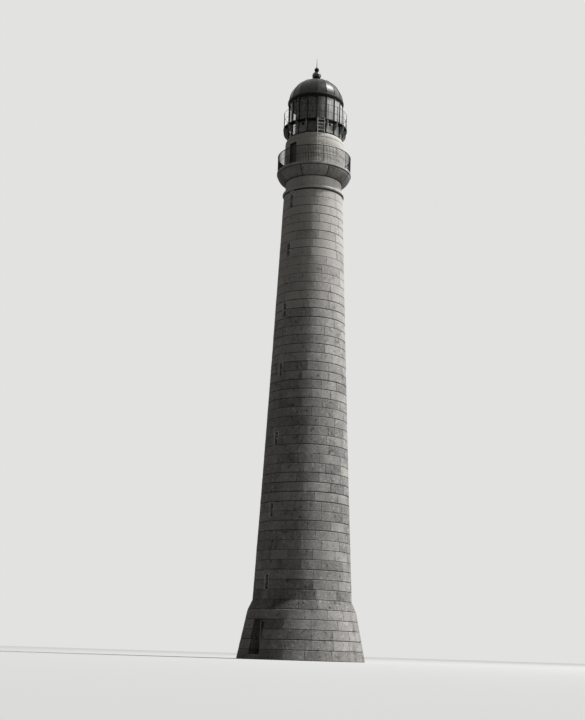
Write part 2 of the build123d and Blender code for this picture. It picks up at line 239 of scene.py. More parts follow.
def split_granite(name, lift=0.0):
    """Split, weathered granite: mottled grains, damp streaks down the wall and a matt, pitted face."""
    material, add, place = new_material(name)
    tone = add("Attribute", attribute_name="tone", attribute_type="GEOMETRY").outputs["Fac"]
    # Clouds, grains and streaks: real size, detail, roughness, scale along the height and weight.
    # Grains are about 8 mm, drawn at 90 mm so that they show
    patterns = ((900, 3.0, 0.5, 1.0, 0.35), (90, 4.0, 0.75, 1.0, 0.75), (420, 4.0, 0.6, 0.2, 0.3))
    middle = sum(weight for *_, weight in patterns) / 2
    total = add("Math", {0: tone, 1: lift - middle}, operation="ADD")
    for size, detail, roughness, upright, weight in patterns:
        moved = add("Mapping", {"Vector": place, "Scale": (1.0, 1.0, upright)})
        pattern = add("TexNoise", {
            "Vector": moved, "Scale": grain(size), "Detail": detail, "Roughness": roughness})
        total = add("Math", {0: pattern, 1: weight, 2: total}, operation="MULTIPLY_ADD")
    # Damp spots are darker and lichen rings paler than the stone, both a hand or so across
    for size, shift, strength in ((300, 3.7, -0.22), (210, 9.1, 0.22)):
        moved = add("Mapping", {"Vector": place, "Location": (shift, shift, shift)})
        spots = add("TexNoise", {"Vector": moved, "Scale": grain(size), "Detail": 3.0, "Roughness": 0.55})
        spots = add("MapRange", {
            "Value": spots, "From Min": 0.58, "From Max": 0.7, "To Min": 0.0, "To Max": strength})
        total = add("Math", {0: total, 1: spots}, operation="ADD")
    mottle = add("ValToRGB", {"Fac": total}, [
        (0.0, "3c3b39"), (0.3, chosen("stone").dark), (0.75, chosen("stone").pale), (1.0, "d2cfc8")])
    pits = add("TexNoise", {"Vector": place, "Scale": grain(140), "Detail": 6.0, "Roughness": 0.7})
    bump = add("Bump", {"Height": pits, "Strength": 0.7, "Distance": real(22)})
    shader = add("BsdfPrincipled", {
        "Base Color": mottle, "Roughness": 0.86, "Normal": bump, "Specular IOR Level": 0.22})
    add("OutputMaterial", {"Surface": shader})
    return material


def mortar_or_boards(name, size, upright, detail, dark, pale, strength, depth, roughness):
    """Sandy mortar or painted boards: one grain gives a matt face both its colour and its relief."""
    material, add, place = new_material(name)
    moved = add("Mapping", {"Vector": place, "Scale": (1.0, 1.0, upright)})
    fibres = add("TexNoise", {"Vector": moved, "Scale": grain(size), "Detail": detail})
    tint = add("ValToRGB", {"Fac": fibres}, [(0.3, dark), (0.7, pale)])
    bump = add("Bump", {"Height": fibres, "Strength": strength, "Distance": real(depth)})
    shader = add("BsdfPrincipled", {"Base Color": tint, "Roughness": roughness, "Normal": bump})
    add("OutputMaterial", {"Surface": shader})
    return material


def painted_metal(name, paint, worn, roughness, dirt_size, lumps, shine=0.3):
    """Brush-painted metal: a thick skin of paint with brush lumps, and patches where salt has dulled it."""
    material, add, place = new_material(name)
    dirt = add("TexNoise", {"Vector": place, "Scale": grain(dirt_size), "Detail": 6.0, "Roughness": 0.65})
    tint = add("ValToRGB", {"Fac": dirt}, [(0.42, paint), (0.72, worn)])
    dull = add("MapRange", {
        "Value": dirt, "From Min": 0.3, "From Max": 0.8, "To Min": roughness, "To Max": roughness + 0.25})
    brushed = add("TexNoise", {"Vector": place, "Scale": grain(70), "Detail": 3.0})
    bump = add("Bump", {"Height": brushed, "Strength": 0.35, "Distance": real(lumps)})
    shader = add("BsdfPrincipled", {
        "Base Color": tint, "Roughness": dull, "Normal": bump, "Specular IOR Level": shine})
    add("OutputMaterial", {"Surface": shader})
    return material


def window_glass():
    """Old plate glass: clear face on, a mirror at a glancing angle, with a pale film on the panes turned to
    the light that is partly real salt and partly painted light, and a thin darker film on the others that is
    painted shade.
    """
    material, add, place = new_material("window_glass")
    glance = add("LayerWeight", {"Blend": 0.5}).outputs["Facing"]
    glance = add("Math", {0: glance, 1: 4.0}, operation="POWER")
    mirror = add("Math", {0: glance, 1: 0.6, 2: 0.02}, operation="MULTIPLY_ADD")
    # The side that the film favours is turned nearly to the key light, so the film there is painted light
    towards_light = polar(radians(112), 1 / LANTERN_RADIUS, 0)
    facing_light = add("VectorMath", {0: place, 1: towards_light}, operation="DOT_PRODUCT").outputs["Value"]
    facing_light = add("MapRange", {
        "Value": facing_light, "From Min": 0.48, "From Max": 0.86, "To Min": 0.15, "To Max": 0.95},
        interpolation_type="SMOOTHSTEP")
    # The film is a third thinner below a level a little above the catwalk
    height = add("SeparateXYZ", {"Vector": place}).outputs["Z"]
    thinned_low = add("MapRange", {
        "Value": height, "From Min": CATWALK_TOP + real(700), "From Max": CATWALK_TOP + real(1050),
        "To Min": 0.66, "To Max": 1.0})
    # Painted light and shade: the film is pale and thick on the panes turned to the light, and thin and
    # darker on the others
    tint = add("ValToRGB", {"Fac": facing_light}, [(0.15, "a3a4a1"), (0.5, "dcdedb")])
    # Rain washes the salt into runs about 110 mm wide and two metres long
    runs = add("Mapping", {"Vector": place, "Scale": (1.0, 1.0, 0.05)})
    salt = add("TexNoise", {"Vector": runs, "Scale": grain(110), "Detail": 4.0, "Roughness": 0.65})
    salt = add("MapRange", {"Value": salt, "From Min": 0.32, "From Max": 0.7, "To Min": 0.45, "To Max": 1.25})
    film = add("Math", {0: facing_light, 1: salt}, operation="MULTIPLY")
    film = add("Math", {0: film, 1: thinned_low}, operation="MULTIPLY")
    cover = add("Math", {0: film, 1: mirror}, operation="ADD", use_clamp=True)
    gloss = add("Math", {0: mirror, 1: cover}, operation="DIVIDE")
    shader = add("BsdfPrincipled", {
        "Base Color": tint, "Metallic": gloss, "Roughness": 0.08, "Specular IOR Level": 0.0, "Alpha": cover})
    add("OutputMaterial", {"Surface": shader})
    return material


def curtain_linen():
    """Unbleached linen: a plain weave with thick and thin threads, dull and a little yellow from the sun; its
    dark grey-brown is painted shade for the dim inside of the lantern.
    """
    material, add, place = new_material("curtain_linen")
    # Threads are under 1 mm, drawn at 9 mm so that they show
    threads = add("TexNoise", {"Vector": place, "Scale": grain(9), "Detail": 2.0})
    along = add("Mapping", {"Vector": place, "Scale": (1.0, 1.0, 0.05)})
    slubs = add("TexNoise", {"Vector": along, "Scale": grain(40), "Detail": 3.0})
    weave = add("Math", {0: threads, 1: slubs}, operation="MULTIPLY")
    # Painted shade: a dark grey-brown, much darker than linen
    tint = add("ValToRGB", {"Fac": weave}, [(0.12, "6d6a64"), (0.4, "9b978e")])
    bump = add("Bump", {"Height": threads, "Strength": 0.3, "Distance": real(2)})
    shader = add("BsdfPrincipled", {
        "Base Color": tint, "Roughness": 0.9, "Sheen Weight": 0.25, "Normal": bump})
    add("OutputMaterial", {"Surface": shader})
    return material


MAKERS = {
    "granite": lambda: split_granite("split_granite"),
    "dressed_granite": lambda: split_granite("dressed_granite", lift=0.04),
    # Old lime mortar, set back in the joints: dark, sandy and dirty, so that the joints read as lines
    "mortar": lambda: mortar_or_boards("lime_mortar", 45, 1.0, 5.0, "2f2e2c", "575551", 0.5, 8, 0.95),
    # Dark painted boards: grain along the height and a worn, half-matt coat
    "boards": lambda: mortar_or_boards("oiled_boards", 22, 0.06, 6.0, "37322b", "635a4d", 0.4, 5, 0.6),
    "iron": lambda: painted_metal("black_iron", chosen("iron").iron, "333331", 0.5, 340, 3, 0.15),
    "roof": lambda: painted_metal("roof_sheet", chosen("iron").roof, "292928", 0.24, 520, 3, 0.26),
    "gloss": lambda: painted_metal("gloss_black", chosen("iron").iron, "2a2a29", 0.16, 340, 1, 0.6),
    "door": lambda: painted_metal("door_enamel", "61625f", "75736e", 0.5, 300, 3, 0.2),
    "lead": lambda: painted_metal("lead_grey_paint", "b0b0ad", "8c8b87", 0.5, 300, 3, 0.2),
    "white": lambda: painted_metal("white_paint", chosen("iron").white, "bdbbb4", 0.5, 260, 2),
    "glass": window_glass,
    "linen": curtain_linen,
}
made_materials = {}


def material_of(key):
    """Material by its key, made the first time it is asked for."""
    if key not in made_materials:
        made_materials[key] = MAKERS[key]()
    return made_materials[key]


# Mesh helpers

def polar(bearing, radius, height):
    """Point at a bearing from the front, turned towards +X."""
    return Vector((radius * sin(bearing), -radius * cos(bearing), height))


def sideways(bearing):
    """Level direction along the wall at a bearing."""
    return Vector((cos(bearing), sin(bearing), 0))


def add_object(name, data):
    """New object in the scene for a mesh, a lamp or a camera."""
    made = bpy.data.objects.new(name, data)
    bpy.context.scene.collection.objects.link(made)
    return made


def finish_piece(bm, name, material, replaces=(), crease=38):
    """Merges, orients and shades a mesh, and makes it a piece that rides with the tower."""
    bmesh.ops.remove_doubles(bm, verts=bm.verts, dist=0.00005)
    bmesh.ops.recalc_face_normals(bm, faces=bm.faces)
    for edge in bm.edges:
        edge.smooth = len(edge.link_faces) == 2 and edge.calc_face_angle() < radians(crease)
    for face in bm.faces:
        face.smooth = True
    mesh = bpy.data.meshes.new(name)
    bm.to_mesh(mesh)
    bm.free()
    mesh.materials.append(material_of(material))
    piece = add_object(name, mesh)
    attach(piece, "root")
    if replaces:
        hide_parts(*replaces)
    return piece


def corners_in(geometry):
    """Corners among what a bmesh operator made."""
    return [item for item in geometry if isinstance(item, bmesh.types.BMVert)]


def turned(bm, profile, segments, bearings=(0.0, 2 * pi), closed=True):
    """Sweeps a profile of (radius, height) points round the axis: an open one starts and ends on the axis."""
    start, end = bearings
    whole = end - start > 2 * pi - 0.001
    corners = [bm.verts.new(polar(start, radius, height)) for radius, height in profile]
    edges = [bm.edges.new(pair) for pair in zip(corners, corners[1:] + (corners[:1] if closed else []))]
    section = [] if whole else [bm.faces.new(corners)]
    bmesh.ops.spin(bm, geom=corners + edges + section, cent=(0, 0, 0), axis=(0, 0, 1), angle=end - start,
                   steps=segments, use_merge=whole, use_duplicate=False)


def arc_outline(start, middle, end, steps):
    """Points at even turns along the arc through three points."""
    (ax, ay), (bx, by), (cx, cy) = start, middle, end
    divisor = 2 * (ax * (by - cy) + bx * (cy - ay) + cx * (ay - by))
    squares = ax**2 + ay**2, bx**2 + by**2, cx**2 + cy**2
    ux = (squares[0] * (by - cy) + squares[1] * (cy - ay) + squares[2] * (ay - by)) / divisor
    uy = (squares[0] * (cx - bx) + squares[1] * (ax - cx) + squares[2] * (bx - ax)) / divisor
    radius = hypot(ax - ux, ay - uy)
    first, half_way, last = (atan2(y - uy, x - ux) for x, y in (start, middle, end))
    turn = (last - first) % (2 * pi)
    if (half_way - first) % (2 * pi) > turn:
        turn -= 2 * pi
    turns = [first + turn * step / steps for step in range(steps + 1)]
    return [(ux + radius * cos(turn), uy + radius * sin(turn)) for turn in turns]


def bar(bm, start, end, radius, sides=8):
    """Round bar between two points."""
    turn = (end - start).to_track_quat("Z", "Y").to_matrix().to_4x4()
    bmesh.ops.create_cone(
        bm, cap_ends=True, segments=sides, radius1=radius, radius2=radius, depth=(end - start).length,
        matrix=Matrix.Translation((start + end) / 2) @ turn)


def knob(bm, centre, radius, subdivisions=1):
    """Round head of a rivet or a handle."""
    place = Matrix.Translation(centre)
    bmesh.ops.create_icosphere(bm, subdivisions=subdivisions, radius=radius, matrix=place)


def block(bm, centre, size, bearing=0.0, *, edge):
    """Box with softened edges, turned to a bearing: size is across, outwards and up."""
    turn = Matrix.Rotation(bearing, 4, "Z")
    made = bmesh.ops.create_cube(
        bm, size=1.0, matrix=Matrix.Translation(centre) @ turn @ Matrix.Diagonal((*size, 1.0)))
    edges = dict.fromkeys(link for corner in made["verts"] for link in corner.link_edges)
    bmesh.ops.bevel(bm, geom=list(edges), offset=edge, offset_type="OFFSET", affect="EDGES", segments=1,
                    profile=0.5, material=-1, clamp_overlap=True)


def pair_of_blocks(bm, across, outwards, height, size, edge):
    """Two like blocks, one on each side of the front's middle."""
    for side in (-1, 1):
        block(bm, (side * across, outwards, height), size, edge=edge)


def ribbon(bm, points, across, width):
    """Strip of faces along a line of points: gives its faces and its corners."""
    strip = [bm.verts.new(point - across * width / 2) for point in points]
    lines = [bm.edges.new(pair) for pair in zip(strip, strip[1:])]
    made = bmesh.ops.extrude_edge_only(bm, edges=lines)["geom"]
    bmesh.ops.translate(bm, vec=across * width, verts=corners_in(made))
    faces = [item for item in made if isinstance(item, bmesh.types.BMFace)]
    bmesh.ops.recalc_face_normals(bm, faces=faces)
    return faces, strip + corners_in(made)


# Stones

def stone_mesh():
    """Empty mesh with a layer for the tones of its stones."""
    bm = bmesh.new()
    bm.faces.layers.float.new("tone")
    return bm


def set_tone(bm, faces, tone):
    """Notes a stone's tone on its faces, for the granite to read."""
    for face in faces:
        face[bm.faces.layers.float["tone"]] = tone


def spaced(part, count, margin):
    """Spreads evenly spaced grid lines so that the outer two on each side lie a margin apart."""
    index = round(part * count)
    if index in (0, count):
        return index / count
    return margin + (1 - 2 * margin) * (index - 1) / (count - 2)


def stone(bm, bearings, heights, radius_at, tone, look, columns=7, rows=4):
    """Block of a round wall: a split face that rises from its margins, and sides that go into the wall."""
    (start, end), (foot, head) = bearings, heights
    # A margin takes at most three tenths of a narrow stone
    side_margin = min(0.3, look["margin"] / ((end - start) * radius_at(foot)))
    bed_margin = min(0.3, look["margin"] / (head - foot))
    face = bmesh.ops.create_grid(bm, x_segments=columns, y_segments=rows, size=0.5)["verts"]
    for corner in face:
        across, up = corner.co.x + 0.5, corner.co.y + 0.5
        bearing = start + (end - start) * spaced(across, columns, side_margin)
        height = foot + (head - foot) * spaced(up, rows, bed_margin)
        radius = radius_at(height) + look["rest"]
        if 0 < round(across * columns) < columns and 0 < round(up * rows) < rows:
            wave = noise.noise(polar(bearing, radius, height) * look["wave_scale"])
            radius += look["proud"] + look["rough"] * wave
        corner.co = polar(bearing, radius, height)
    border = dict.fromkeys(edge for corner in face for edge in corner.link_edges if len(edge.link_faces) == 1)
    sides = bmesh.ops.extrude_edge_only(bm, edges=list(border))["geom"]
    for corner in corners_in(sides):
        outwards = Vector((corner.co.x, corner.co.y, 0)).normalized()
        corner.co -= outwards * (look["rest"] + look["sink"])
    rim = [item for item in sides if isinstance(item, bmesh.types.BMEdge) and len(item.link_faces) == 1]
    bmesh.ops.contextual_create(bm, geom=rim)
    set_tone(bm, {link for corner in [*face, *corners_in(sides)] for link in corner.link_faces}, tone)


def stone_look(**changes):
    """Sizes that a stone is cut to, from the settings and a few changes."""
    settings = chosen("stone")
    look = {"margin": settings.margin, "proud": settings.proud, "rough": settings.roughness, "rest": real(2),
            "sink": real(30), "wave_scale": 1 / real(420), "joint": settings.joint, "tone": 0.0}
    return look | changes


def draw_tone(draw, height):
    """Tone of one stone: a draw about the middle, paler the higher it lies in the upper half of the shaft."""
    settings = chosen("stone")
    upper_share = min(1.0, max(0.0, height / SHAFT_TOP - 0.5) * 2)
    return 0.5 + settings.tone_spread * draw.triangular(-1.0, 1.0, 0.0) + settings.paling_upwards * upper_share


def course_of_stones(bm, heights, radius_at, count, first, draw, look, opening=0.0, jitter=0.16, beds=None,
                     **grid):
    """One course round the wall, or round all of it but an opening at the front, with its joints."""
    foot, head = heights
    foot_bed, head_bed = beds or (look["joint"], look["joint"])
    # Upright joints are cut finer than the beds
    gap = 0.6 * look["joint"] / 2 / radius_at(foot)
    free = 2 * pi - 2 * opening
    shifts = [draw.uniform(-jitter, jitter) if 0 < number < count else 0.0 for number in range(count + 1)]
    cuts = [(opening or first) + free * (number + shift) / count for number, shift in enumerate(shifts)]
    for number, (left, right) in enumerate(zip(cuts, cuts[1:])):
        start = left if opening and number == 0 else left + gap
        end = right if opening and number == count - 1 else right - gap
        tone = draw_tone(draw, foot) + look["tone"]
        stone(bm, (start, end), (foot + foot_bed / 2, head - head_bed / 2), radius_at, tone, look, **grid)


def radius_along(outline):
    """Function for the radius at a height, along straight runs between (height, radius) points."""
    def radius_at(height):
        for (low_end, low_radius), (high_end, high_radius) in zip(outline, outline[1:]):
            if height <= high_end:
                part = max(0.0, height - low_end) / (high_end - low_end)
                return low_radius + (high_radius - low_radius) * part
        return outline[-1][1]
    return radius_at


wall_radius = radius_along(
    [(0.0, reach("foundation", 0.0)), (PLINTH_TOP - COURSE, reach("plinth_back", PLINTH_TOP - COURSE)),
     (PLINTH_TOP, reach("plinth_back", PLINTH_TOP))]
    + [(high(node), reach(node, high(node))) for node in (
        "shaft_lower_right", "shaft_middle_right", "shaft_upper_right", "shaft_top_right")])


def window_spans():
    """Half width and lowest and highest points of each opening in the front of the tower."""
    levels = sorted({round(corner.z, 4) for corner in corners_of("window_frames")})
    door_low, door_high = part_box("entrance_frame")
    half_width = widest("window_frames")
    spans = [(half_width, levels[index], levels[index + 3]) for index in range(0, len(levels), 4)]
    return spans + [(door_high.x, door_low.z, door_high.z)]


class LIGHTHOUSE_OT_tower_stones(bpy.types.Operator):
    """Lays the courses of split granite on the plinth and the shaft"""
    bl_idname = "lighthouse.tower_stones"
    bl_label = "Tower stones"

    def execute(self, context):
        settings = chosen("stone")
        draw = random.Random(11)
        openings = window_spans()
        # An opening that reaches less than this into a course doesn't cut it, and no filler is shorter
        least_cut, least_filler = real(40), real(60)
        stages = {"plinth_stones": (0, PLINTH_COURSES), "lower_shaft_stones": (PLINTH_COURSES, 19),
                  "middle_shaft_stones": (19, 33), "upper_shaft_stones": (33, 47),
                  "top_shaft_stones": (47, COURSES)}
        # Rain has washed the beds widest half way up. The last bed, 150 mm of dark mortar under the astragal,
        # is painted shadow below the bead
        beds = [settings.joint * draw.uniform(0.7, 1.9) * (1 + 0.45 * sin(pi * number / COURSES) ** 3)
                for number in range(COURSES)] + [real(150)]
        for name, courses in stages.items():
            bm = stone_mesh()
            for number in range(*courses):
                foot, head = number * COURSE, (number + 1) * COURSE
                radius = wall_radius(foot)
                count = max(8, round(2 * pi * radius / settings.block_length))
                first = 2 * pi / count * (0.5 * (number % 2) + draw.uniform(-0.18, 0.18))
                cut = [span for span in openings if span[1] < head - least_cut and span[2] > foot + least_cut]
                bed = (beds[number], beds[number + 1])
                # The sloped top of the plinth stays damp and dark
                look = stone_look(tone=-0.24 if number == PLINTH_COURSES - 1 else 0.0)
                if not cut:
                    course_of_stones(bm, (foot, head), wall_radius, count, first, draw, look, beds=bed)
                    continue
                half_width, span_low, span_high = cut[0]
                half_turn = asin(half_width / radius)
                course_of_stones(bm, (foot, head), wall_radius, count - 1, first, draw, look,
                                 opening=half_turn, beds=bed)
                for filler in ((foot, span_low), (span_high, head)):
                    if filler[1] - filler[0] > least_filler:
                        tone = draw_tone(draw, filler[0])
                        stone(bm, (-half_turn, half_turn), filler, wall_radius, tone, look)
            finish_piece(bm, name, "granite", crease=18)
        return {"FINISHED"}


class LIGHTHOUSE_OT_head_stones(bpy.types.Operator):
    """Cuts the dressed stones of the tower's head: astragal, necking, cornice and deck"""
    bl_idname = "lighthouse.head_stones"
    bl_label = "Head stones"

    def execute(self, context):
        draw = random.Random(5)
        looks = {"proud": real(5), "rough": real(3), "margin": real(16), "rest": real(1)}
        bead = (NECKING_FOOT - SHAFT_TOP) / 2
        bead_middle = widest("astragal_course") - bead
        necking_radius = reach("necking_course", NECKING_FOOT)
        ovolo = arc_outline((CORNICE_FOOT, necking_radius), (CORNICE_FOOT + real(220), real(2300)),
                            (DECK_FOOT - real(110), widest("cornice_course")), 24)

        def astragal_radius(height):
            off_middle = min(0.9999, abs(height - SHAFT_TOP - bead) / bead)
            return bead_middle + bead * sqrt(1 - off_middle**2)

        # Heights, radius, stones, rows, joint, tone, beds at foot and head, and bearing of the first joint
        rings = {
            # The astragal's 60 mm foot bed of dark mortar is painted shadow under the bead
            "astragal_stones": ((SHAFT_TOP, NECKING_FOOT), astragal_radius, 16, 9, 12, 0.06, (60, 60), 0),
            "necking_stones": ((NECKING_FOOT, CORNICE_FOOT), lambda height: necking_radius, 16, 4, 16, 0.0,
                               (40, 40), 0),
            # Painted shade: the cornice is drawn 0.45 darker for the shade on its downward-facing ovolo, and
            # its 110 mm head bed of dark mortar is painted shadow under the deck's overhang
            "cornice_stones": ((CORNICE_FOOT, DECK_FOOT), radius_along(ovolo), 8, 14, 95, -0.45,
                               (50, 110), 25.5),
        }
        for name, (heights, radius_at, count, rows, joint, tone, beds, first) in rings.items():
            bm = stone_mesh()
            course_of_stones(bm, heights, radius_at, count, radians(first), draw,
                             stone_look(joint=real(joint), tone=tone, **looks), jitter=0.0,
                             beds=[real(bed) for bed in beds], columns=160 // count, rows=rows)
            finish_piece(bm, name, "dressed_granite")

        bm = stone_mesh()
        inner, outer, nose = real(1590), widest("gallery_deck"), real(12)
        profile = [(inner, DECK_FOOT), (outer - nose, DECK_FOOT), (outer, DECK_FOOT + nose),
                   (outer, GALLERY - nose), (outer - nose, GALLERY), (inner, GALLERY)]
        slabs = 16
        slab, gap = 2 * pi / slabs, real(6) / outer
        for number in range(slabs):
            before = set(bm.faces)
            turned(bm, profile, 8, (slab * number + gap, slab * (number + 1) - gap))
            # Painted shade: the slabs are drawn 0.25 darker for the shade along the deck's nose
            set_tone(bm, set(bm.faces) - before, draw_tone(draw, GALLERY) - 0.25)
        finish_piece(bm, "deck_slabs", "dressed_granite", ["gallery_deck"])
        return {"FINISHED"}


class LIGHTHOUSE_OT_watch_room_stones(bpy.types.Operator):
    """Lays the stones of the watch room and its rounded coping"""
    bl_idname = "lighthouse.watch_room_stones"
    bl_label = "Watch room stones"

    def execute(self, context):
        draw = random.Random(23)
        look = stone_look(proud=real(3), rough=real(3), margin=real(12), joint=real(7), tone=0.13)
        radius = reach("watch_room_wall_back", GALLERY)
        half_turn = asin(widest("gallery_door") / radius)
        courses = 4
        step = (COPING_FOOT - GALLERY) / courses
        bm = stone_mesh()
        for number in range(courses):
            foot = GALLERY + number * step
            opening = half_turn if high("gallery_door") > foot + real(40) else 0.0
            course_of_stones(bm, (foot, foot + step), lambda height: radius, 11 if opening else 12,
                             radians(15 * (number % 2)), draw, look, opening=opening)
        stone(bm, (-half_turn, half_turn), (low("watch_room_door_lintel"), COPING_FOOT - real(4)),
              lambda height: radius, draw_tone(draw, GALLERY) + look["tone"], look)
        finish_piece(bm, "watch_room_stones", "granite")

        top_radius = reach("watch_room_coping", LANTERN_FOOT)
        shoulder = (COPING_FOOT + 0.6 * (LANTERN_FOOT - COPING_FOOT), radius - 0.25 * (radius - top_radius))
        outline = arc_outline((COPING_FOOT, radius), shoulder, (LANTERN_FOOT, top_radius), 16)
        look = stone_look(proud=real(4), rough=real(2), margin=real(14), rest=real(1), joint=real(14))
        bm = stone_mesh()
        course_of_stones(bm, (COPING_FOOT, LANTERN_FOOT), radius_along(outline), 12, radians(8), draw, look,
                         jitter=0.0, columns=14, rows=8)
        finish_piece(bm, "coping_stones", "dressed_granite")
        return {"FINISHED"}


# Windows and doors

class LIGHTHOUSE_OT_windows(bpy.types.Operator):
    """Makes the painted sashes, with their sills and meeting rails"""
    bl_idname = "lighthouse.windows"
    bl_label = "Windows"

    def execute(self, context):
        bm = bmesh.new()
        stile, rail, meeting_rail, casing, sill = real(62), real(54), real(28), real(52), real(28)
        frames = corners_of("window_frames")
        for half_width, foot, head in window_spans()[:-1]:
            own = [corner.y for corner in frames if foot - 0.001 < corner.z < head + 0.001]
            face, depth = (min(own) + max(own)) / 2, max(own) - min(own)
            middle, height = (foot + head) / 2, head - foot
            pair_of_blocks(bm, half_width - stile / 2, face, middle, (stile, depth, height), real(8))
            for level, thick in ((foot + rail / 2, rail), (head - rail / 2, rail), (middle, meeting_rail)):
                block(bm, (0, face, level), (2 * (half_width - stile), depth * 0.8, thick), edge=real(6))
            # Casings run from the sash out to the face of the wall
            outside = real(6) - sqrt(wall_radius(middle)**2 - half_width**2)
            reveal = face - depth / 2 - outside
            pair_of_blocks(bm, half_width - casing / 2, outside + reveal / 2, middle,
                           (casing, reveal, height), real(5))
            block(bm, (0, outside + reveal / 2, foot + sill / 2), (2 * (half_width - casing), reveal, sill),
                  edge=real(5))
        finish_piece(bm, "window_sashes", "white", ["window_frames"])
        return {"FINISHED"}


class LIGHTHOUSE_OT_entrance(bpy.types.Operator):
    """Makes the boarded entrance door with its frame, hinges and latch, and lines the porch"""
    bl_idname = "lighthouse.entrance"
    bl_label = "Entrance"

    def execute(self, context):
        bm = bmesh.new()
        middle, size = middle_and_size("entrance_door")
        foot, half_width = low("entrance_door"), size.x / 2
        boards, ledges = 5, (0.14, 0.5, 0.86)
        step = size.x / boards
        for number in range(boards):
            block(bm, (step * (number + 0.5) - half_width, middle.y, middle.z),
                  (step - real(5), size.y * 0.7, size.z), edge=real(5))
        for part in ledges:
            block(bm, (0, middle.y - size.y * 0.42, foot + size.z * part),
                  (size.x * 0.94, size.y * 0.22, real(110)), edge=real(5))
        finish_piece(bm, "entrance_boards", "boards", ["entrance_door"])

        bm = bmesh.new()
        face = middle.y - size.y * 0.53
        half_pin = Vector((0, 0, real(50)))
        for part in (ledges[0], ledges[2]):
            level = foot + size.z * part
            block(bm, (-half_width * 0.42, face, level), (half_width, real(12), real(44)), edge=real(3))
            pin = Vector((-half_width, face, level))
            bar(bm, pin - half_pin, pin + half_pin, real(14))
        latch = Vector((half_width * 0.72, face, middle.z))
        block(bm, latch, (real(80), real(14), real(150)), edge=real(4))
        knob(bm, latch - Vector((0, real(38), 0)), real(30), 2)
        finish_piece(bm, "entrance_hinges", "iron")

        bm = bmesh.new()
        jamb = widest("entrance_frame") - half_width
        middle, size = middle_and_size("entrance_frame")
        foot, head, half_width = low("entrance_frame"), high("entrance_frame"), size.x / 2
        pair_of_blocks(bm, half_width - jamb / 2, middle.y, middle.z, (jamb, size.y, size.z), real(9))
        block(bm, (0, middle.y, head - jamb / 2), (size.x - 2 * jamb, size.y * 0.96, jamb), edge=real(9))
        finish_piece(bm, "entrance_jambs", "white", ["entrance_frame"])

        # Dressed stones line the porch's sides, a course at a time
        bm = stone_mesh()
        draw = random.Random(31)
        courses, lining, half_joint = 4, real(8), real(8)
        inside = middle.y - size.y / 2
        for course in range(courses):
            low_end = max(foot, course * COURSE) + half_joint
            high_end = min(head, (course + 1) * COURSE) - half_joint
            outside = real(30) - sqrt(wall_radius(high_end)**2 - half_width**2)
            centre = Vector((half_width - lining / 2, (outside + inside) / 2, (low_end + high_end) / 2))
            for side in (-1, 1):
                before = set(bm.faces)
                block(bm, centre * Vector((side, 1, 1)), (lining, inside - outside, high_end - low_end),
                      edge=real(2))
                set_tone(bm, set(bm.faces) - before, draw_tone(draw, low_end))
        finish_piece(bm, "porch_stones", "granite")
        return {"FINISHED"}


class LIGHTHOUSE_OT_gallery_door(bpy.types.Operator):
    """Makes the riveted iron door to the gallery"""
    bl_idname = "lighthouse.gallery_door"
    bl_label = "Gallery door"

    def execute(self, context):
        middle, (width, depth, height) = middle_and_size("gallery_door")
        middle.x = 0
        foot, head = low("gallery_door"), high("gallery_door")
        bm = bmesh.new()
        block(bm, middle, (width, depth * 0.6, height), edge=real(4))
        border, rivets = real(70), 9
        face = middle.y - depth * 0.4
        edge_line = (width - border) / 2
        pair_of_blocks(bm, edge_line, face, middle.z, (border, depth * 0.25, height), real(4))
        for level in (foot + border / 2, middle.z, head - border / 2):
            block(bm, (0, face, level), (width - 2 * border, depth * 0.25, border), edge=real(4))
        for number in range(2 * rivets):
            side, level = 2 * (number % 2) - 1, foot + height * (number // 2 + 0.5) / rivets
            knob(bm, (side * edge_line, face - depth * 0.12, level), real(13))
        grip = Vector((width * 0.3, face - real(40), middle.z))
        rise = Vector((0, 0, real(70)))
        bar(bm, grip - rise, grip + rise, real(12))
        for end in (grip - rise, grip + rise):
            bar(bm, end - Vector((0, real(6), 0)), end + Vector((0, real(50), 0)), real(10))
        finish_piece(bm, "gallery_door_plates", "door", ["gallery_door"])
        return {"FINISHED"}


# Railings and ladder

def hoop(bm, radius, height, thickness, segments):
    """Round rail that runs all the way round the tower."""
    turns = [radians(turn) for turn in range(0, 360, 45)]
    section = [(radius + thickness * cos(turn), height + thickness * sin(turn)) for turn in turns]
    turned(bm, section, segments)


def railing_posts(bm, radius, foot, height, bearings, post_radius):
    """Round posts with a flange at the foot and a ball on top."""
    for bearing in bearings:
        base, top = polar(bearing, radius, foot), polar(bearing, radius, foot + height - post_radius)
        bar(bm, base, top, post_radius, 10)
        bar(bm, base, base + Vector((0, 0, real(22))), post_radius * 2.0, 12)
        bmesh.ops.create_uvsphere(bm, u_segments=12, v_segments=8, radius=post_radius * 1.35,
                                  matrix=Matrix.Translation(top))


class LIGHTHOUSE_OT_gallery_railing(bpy.types.Operator):
    """Makes the gallery railing of posts, two rails and close balusters"""
    bl_idname = "lighthouse.gallery_railing"
    bl_label = "Gallery railing"

    def execute(self, context):
        settings = chosen("iron")
        bays, balusters = 16, 8
        radius = real(2515)
        height = high("gallery_railing") - GALLERY
        top = GALLERY + height - settings.post_radius * 1.4
        first = radians(15.5)
        bearings = [first + 2 * pi * number / bays for number in range(bays)]
        step = 2 * pi / bays / (balusters + 1)
        bm = bmesh.new()
        railing_posts(bm, radius, GALLERY, height, bearings, settings.post_radius)
        hoop(bm, radius, top, settings.rail_radius, 96)
        hoop(bm, radius, GALLERY + height / 2 - settings.rail_radius, settings.rail_radius * 0.5, 96)
        for bearing in bearings:
            for turn in [bearing + step * number for number in range(1, balusters + 1)]:
                bar(bm, polar(turn, radius, GALLERY), polar(turn, radius, top), settings.baluster_radius, 6)
        finish_piece(bm, "gallery_rails", "iron", ["gallery_railing"])
        return {"FINISHED"}


